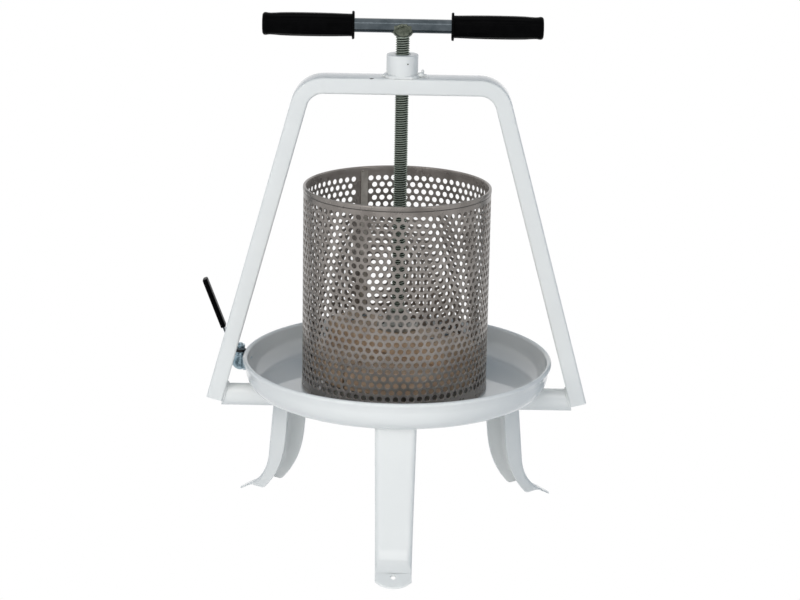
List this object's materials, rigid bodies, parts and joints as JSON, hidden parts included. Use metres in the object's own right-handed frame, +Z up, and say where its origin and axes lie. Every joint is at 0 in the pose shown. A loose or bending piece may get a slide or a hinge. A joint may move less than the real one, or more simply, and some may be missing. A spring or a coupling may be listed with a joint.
{
  "type": "fruit press",
  "caption": "Screw press for fruit: a perforated basket on a round tray with pressed legs, a bent bow, and a threaded spindle with a T handle.",
  "frame": {"origin": "on the floor, on the axis of the screw", "axes": "+Z up along the screw, front leg towards -Y, handle bar along X at rest"},
  "size_m": [0.4312, 0.377, 0.58],
  "materials": {
    "painted_steel": "painted",
    "perforated_steel": "satin",
    "zinc_steel": "plated",
    "nickel_brass": "plated",
    "beech_wood": "sanded",
    "black_vinyl": "gloss",
    "rubber": "matt"
  },
  "bodies": {
    "frame": {"tray": "painted_steel", "tray_beam": "painted_steel", "bow": "painted_steel", "screw_boss": "painted_steel", "leg_front": "painted_steel", "leg_rear_right": "painted_steel", "leg_rear_left": "painted_steel", "tap_seal": "rubber", "tap_body": "nickel_brass", "tap_gland": "rubber"},
    "basket": {"basket_wall": "perforated_steel", "basket_rim_top": "perforated_steel", "basket_rim_bottom": "perforated_steel", "basket_seam": "perforated_steel"},
    "press_head": {"press_plate_right": "beech_wood", "press_plate_left": "beech_wood", "press_beam": "beech_wood", "pressure_foot": "zinc_steel", "foot_cross_pins": "zinc_steel"},
    "spindle": {"screw": "zinc_steel", "handle_weld": "zinc_steel", "handle_bar": "zinc_steel", "grip_right": "black_vinyl", "grip_left": "black_vinyl"},
    "tap_handle": {"tap_stem": "nickel_brass", "tap_stem_nut": "nickel_brass", "tap_lever": "zinc_steel", "tap_lever_sleeve": "black_vinyl"}
  },
  "joints": [
    {"name": "basket_lift", "type": "slide", "parent": "frame", "child": "basket", "axis": [0, 0, 1], "range_m": [0, 0.065]},
    {"name": "head_slide", "type": "slide", "parent": "frame", "child": "press_head", "axis": [0, 0, 1], "range_m": [-0.016, 0.214]},
    {"name": "spindle_turn", "type": "hinge", "parent": "press_head", "child": "spindle", "pos_m": [0, 0, 0.247], "axis": [0, 0, 1], "range_deg": [-2304, 30816]},
    {"name": "tap_turn", "type": "hinge", "parent": "frame", "child": "tap_handle", "pos_m": [-0.17702, 0.0309, 0.19], "axis": [0, 0, 1], "range_deg": [-90, 0]}
  ],
  "couplings": [
    {"joint": "head_slide", "follows": "spindle_turn", "m_per_rad": 0.00039789}
  ]
}
